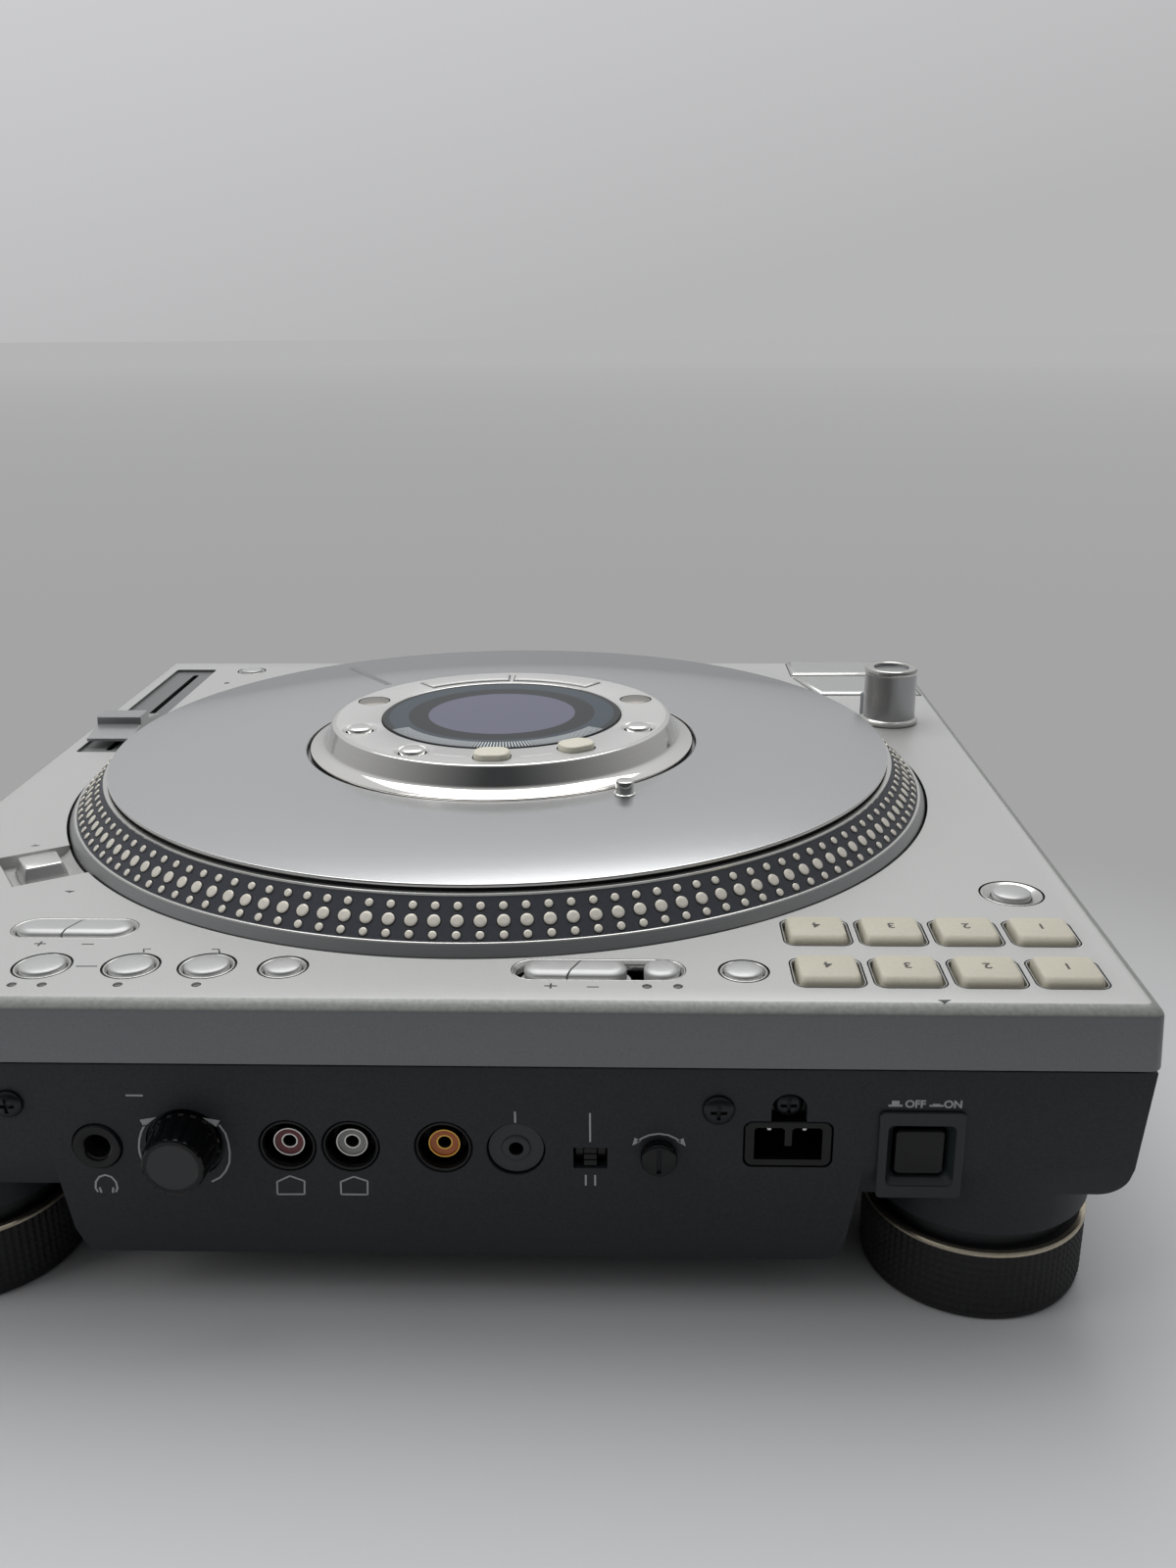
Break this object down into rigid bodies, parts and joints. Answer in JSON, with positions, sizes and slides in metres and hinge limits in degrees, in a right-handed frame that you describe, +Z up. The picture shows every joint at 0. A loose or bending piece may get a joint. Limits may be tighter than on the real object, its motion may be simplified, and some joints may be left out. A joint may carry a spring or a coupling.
{
  "type": "tabletop dj cd player",
  "caption": "Tabletop disc player for mixing: turning platter with a free jog disc, fixed display hub, pads and keys, pitch fader, slot-in drive and rear connector panel.",
  "frame": {"origin": "on the table under the middle of the footprint", "axes": "+Z up, +Y towards the connector panel at the rear, +X to the right of a user who stands at the front (-Y)"},
  "size_m": [0.3536, 0.3598, 0.1203],
  "materials": {
    "silver": "satin silver lacquer",
    "aluminium": "satin turned aluminium",
    "chrome": "bright chrome",
    "black_plastic": "fine matte moulding",
    "rubber": "matte rubber",
    "felt": "thin dark felt",
    "cream": "translucent cream moulding",
    "display": "smoked display window",
    "steel": "plain steel",
    "board": "green circuit board",
    "copper": "enamelled copper"
  },
  "bodies": {
    "chassis": {"top_cover": "silver", "base_tub": "black_plastic", "front_left_foot": "rubber", "front_right_foot": "rubber", "rear_left_foot": "rubber", "rear_right_foot": "rubber", "centre_post": "steel", "platter_bearing": "steel", "motor_stator": "copper", "hub_housing": "chrome", "display_glass": "display", "strobe_tower": "silver", "jack_board": "black_plastic", "mains_inlet": "black_plastic", "power_frame": "black_plastic", "disc_drive": "steel", "main_board": "board", "mains_transformer": "steel"},
    "platter": {"platter": "aluminium", "slip_mat": "felt"},
    "jog_disc": {"jog_disc": "aluminium", "finger_pin": "chrome"},
    "pad_mode_button": {"pad_mode_button": "silver"},
    "save_button": {"save_button": "silver"},
    "load_button": {"load_button": "silver"},
    "execute_button": {"execute_button": "silver"},
    "memory_button": {"memory_button": "silver"},
    "record_button": {"record_button": "silver"},
    "pitch_range_button": {"pitch_range_button": "silver"},
    "bank_up_key": {"bank_up_key": "silver"},
    "bank_down_key": {"bank_down_key": "silver"},
    "trim_up_key": {"trim_up_key": "silver"},
    "trim_down_key": {"trim_down_key": "silver"},
    "edit_button": {"edit_button": "silver"},
    "cue_pad_1": {"cue_pad_1": "cream"},
    "cue_pad_2": {"cue_pad_2": "cream"},
    "cue_pad_3": {"cue_pad_3": "cream"},
    "cue_pad_4": {"cue_pad_4": "cream"},
    "sample_pad_1": {"sample_pad_1": "cream"},
    "sample_pad_2": {"sample_pad_2": "cream"},
    "sample_pad_3": {"sample_pad_3": "cream"},
    "sample_pad_4": {"sample_pad_4": "cream"},
    "start_key": {"start_key": "silver"},
    "cue_key": {"cue_key": "silver"},
    "loop_button_1": {"loop_button_1": "chrome"},
    "loop_button_2": {"loop_button_2": "chrome"},
    "loop_button_3": {"loop_button_3": "chrome"},
    "left_hub_key": {"left_hub_key": "silver"},
    "right_hub_key": {"right_hub_key": "silver"},
    "in_button": {"in_button": "cream"},
    "out_button": {"out_button": "cream"},
    "left_search_key": {"left_search_key": "chrome"},
    "right_search_key": {"right_search_key": "chrome"},
    "fader_cap": {"fader_cap": "silver"},
    "direction_switch": {"direction_switch": "silver"},
    "volume_knob": {"volume_knob": "black_plastic"},
    "brake_knob": {"brake_knob": "black_plastic"},
    "mode_slider": {"mode_slider": "black_plastic"},
    "power_key": {"power_key": "black_plastic"},
    "eject_key": {"eject_key": "black_plastic"}
  },
  "joints": [
    {"name": "platter_spin", "type": "hinge", "parent": "chassis", "child": "platter", "pos_m": [0, -0.0041, 0.094], "axis": [0, 0, 1], "continuous": true},
    {"name": "disc_slip", "type": "hinge", "parent": "platter", "child": "jog_disc", "pos_m": [0, -0.0041, 0.094], "axis": [0, 0, 1], "continuous": true},
    {"name": "fader_slide", "type": "slide", "parent": "chassis", "child": "fader_cap", "axis": [0, 1, 0], "range_m": [-0.088, 0.008]},
    {"name": "direction_slide", "type": "slide", "parent": "chassis", "child": "direction_switch", "axis": [-0.5373, 0.8434, 0], "range_m": [-0.004, 0.004]},
    {"name": "volume_turn", "type": "hinge", "parent": "chassis", "child": "volume_knob", "pos_m": [0.0683, 0.1689, 0.0525], "axis": [0, 1, 0], "range_deg": [-140, 140]},
    {"name": "brake_turn", "type": "hinge", "parent": "chassis", "child": "brake_knob", "pos_m": [-0.0534, 0.1689, 0.0506], "axis": [0, 1, 0], "range_deg": [-135, 135]},
    {"name": "mode_slide", "type": "slide", "parent": "chassis", "child": "mode_slider", "axis": [1, 0, 0], "range_m": [-0.0019, 0.0019]},
    {"name": "power_push", "type": "slide", "parent": "chassis", "child": "power_key", "axis": [0, -1, 0], "range_m": [0, 0.003], "stiffness_N_per_m": 600, "springref_m": -0.002},
    {"name": "eject_push", "type": "slide", "parent": "chassis", "child": "eject_key", "axis": [0, 1, 0], "range_m": [0, 0.0015], "stiffness_N_per_m": 600, "springref_m": -0.001},
    {"name": "pad_mode_push", "type": "slide", "parent": "chassis", "child": "pad_mode_button", "axis": [0, 0, -1], "range_m": [0, 0.0012], "stiffness_N_per_m": 500, "springref_m": -0.001},
    {"name": "record_push", "type": "slide", "parent": "chassis", "child": "record_button", "axis": [0, 0, -1], "range_m": [0, 0.0012], "stiffness_N_per_m": 500, "springref_m": -0.001},
    {"name": "pitch_range_push", "type": "slide", "parent": "chassis", "child": "pitch_range_button", "axis": [0, 0, -1], "range_m": [0, 0.0012], "stiffness_N_per_m": 500, "springref_m": -0.001},
    {"name": "bank_up_push", "type": "slide", "parent": "chassis", "child": "bank_up_key", "axis": [0, 0, -1], "range_m": [0, 0.0012], "stiffness_N_per_m": 500, "springref_m": -0.001},
    {"name": "bank_down_push", "type": "slide", "parent": "chassis", "child": "bank_down_key", "axis": [0, 0, -1], "range_m": [0, 0.0012], "stiffness_N_per_m": 500, "springref_m": -0.001},
    {"name": "trim_up_push", "type": "slide", "parent": "chassis", "child": "trim_up_key", "axis": [0, 0, -1], "range_m": [0, 0.0012], "stiffness_N_per_m": 500, "springref_m": -0.001},
    {"name": "trim_down_push", "type": "slide", "parent": "chassis", "child": "trim_down_key", "axis": [0, 0, -1], "range_m": [0, 0.0012], "stiffness_N_per_m": 500, "springref_m": -0.001},
    {"name": "edit_push", "type": "slide", "parent": "chassis", "child": "edit_button", "axis": [0, 0, -1], "range_m": [0, 0.0012], "stiffness_N_per_m": 500, "springref_m": -0.001},
    {"name": "cue_pad_1_push", "type": "slide", "parent": "chassis", "child": "cue_pad_1", "axis": [0, 0, -1], "range_m": [0, 0.001], "stiffness_N_per_m": 600, "springref_m": -0.001},
    {"name": "sample_pad_1_push", "type": "slide", "parent": "chassis", "child": "sample_pad_1", "axis": [0, 0, -1], "range_m": [0, 0.001], "stiffness_N_per_m": 600, "springref_m": -0.001},
    {"name": "start_push", "type": "slide", "parent": "chassis", "child": "start_key", "axis": [0, 0, -1], "range_m": [0, 0.0014], "stiffness_N_per_m": 700, "springref_m": -0.001},
    {"name": "cue_push", "type": "slide", "parent": "chassis", "child": "cue_key", "axis": [0, 0, -1], "range_m": [0, 0.0014], "stiffness_N_per_m": 700, "springref_m": -0.001},
    {"name": "loop_1_push", "type": "slide", "parent": "chassis", "child": "loop_button_1", "axis": [0, 0, -1], "range_m": [0, 0.0008], "stiffness_N_per_m": 500, "springref_m": -0.001},
    {"name": "loop_2_push", "type": "slide", "parent": "chassis", "child": "loop_button_2", "axis": [0, 0, -1], "range_m": [0, 0.0008], "stiffness_N_per_m": 500, "springref_m": -0.001},
    {"name": "loop_3_push", "type": "slide", "parent": "chassis", "child": "loop_button_3", "axis": [0, 0, -1], "range_m": [0, 0.0008], "stiffness_N_per_m": 500, "springref_m": -0.001},
    {"name": "left_hub_push", "type": "slide", "parent": "chassis", "child": "left_hub_key", "axis": [0, 0, -1], "range_m": [0, 0.0008], "stiffness_N_per_m": 500, "springref_m": -0.001},
    {"name": "right_hub_push", "type": "slide", "parent": "chassis", "child": "right_hub_key", "axis": [0, 0, -1], "range_m": [0, 0.0008], "stiffness_N_per_m": 500, "springref_m": -0.001},
    {"name": "in_push", "type": "slide", "parent": "chassis", "child": "in_button", "axis": [0, 0, -1], "range_m": [0, 0.0008], "stiffness_N_per_m": 500, "springref_m": -0.001},
    {"name": "out_push", "type": "slide", "parent": "chassis", "child": "out_button", "axis": [0, 0, -1], "range_m": [0, 0.0008], "stiffness_N_per_m": 500, "springref_m": -0.001},
    {"name": "left_search_push", "type": "slide", "parent": "chassis", "child": "left_search_key", "axis": [0, 0, -1], "range_m": [0, 0.0008], "stiffness_N_per_m": 500, "springref_m": -0.001},
    {"name": "right_search_push", "type": "slide", "parent": "chassis", "child": "right_search_key", "axis": [0, 0, -1], "range_m": [0, 0.0008], "stiffness_N_per_m": 500, "springref_m": -0.001},
    {"name": "cue_pad_2_push", "type": "slide", "parent": "chassis", "child": "cue_pad_2", "axis": [0, 0, -1], "range_m": [0, 0.001], "stiffness_N_per_m": 600, "springref_m": -0.001},
    {"name": "cue_pad_3_push", "type": "slide", "parent": "chassis", "child": "cue_pad_3", "axis": [0, 0, -1], "range_m": [0, 0.001], "stiffness_N_per_m": 600, "springref_m": -0.001},
    {"name": "cue_pad_4_push", "type": "slide", "parent": "chassis", "child": "cue_pad_4", "axis": [0, 0, -1], "range_m": [0, 0.001], "stiffness_N_per_m": 600, "springref_m": -0.001},
    {"name": "sample_pad_2_push", "type": "slide", "parent": "chassis", "child": "sample_pad_2", "axis": [0, 0, -1], "range_m": [0, 0.001], "stiffness_N_per_m": 600, "springref_m": -0.001},
    {"name": "sample_pad_3_push", "type": "slide", "parent": "chassis", "child": "sample_pad_3", "axis": [0, 0, -1], "range_m": [0, 0.001], "stiffness_N_per_m": 600, "springref_m": -0.001},
    {"name": "sample_pad_4_push", "type": "slide", "parent": "chassis", "child": "sample_pad_4", "axis": [0, 0, -1], "range_m": [0, 0.001], "stiffness_N_per_m": 600, "springref_m": -0.001},
    {"name": "save_push", "type": "slide", "parent": "chassis", "child": "save_button", "axis": [0, 0, -1], "range_m": [0, 0.0012], "stiffness_N_per_m": 500, "springref_m": -0.001},
    {"name": "load_push", "type": "slide", "parent": "chassis", "child": "load_button", "axis": [0, 0, -1], "range_m": [0, 0.0012], "stiffness_N_per_m": 500, "springref_m": -0.001},
    {"name": "execute_push", "type": "slide", "parent": "chassis", "child": "execute_button", "axis": [0, 0, -1], "range_m": [0, 0.0012], "stiffness_N_per_m": 500, "springref_m": -0.001},
    {"name": "memory_push", "type": "slide", "parent": "chassis", "child": "memory_button", "axis": [0, 0, -1], "range_m": [0, 0.0012], "stiffness_N_per_m": 500, "springref_m": -0.001}
  ]
}
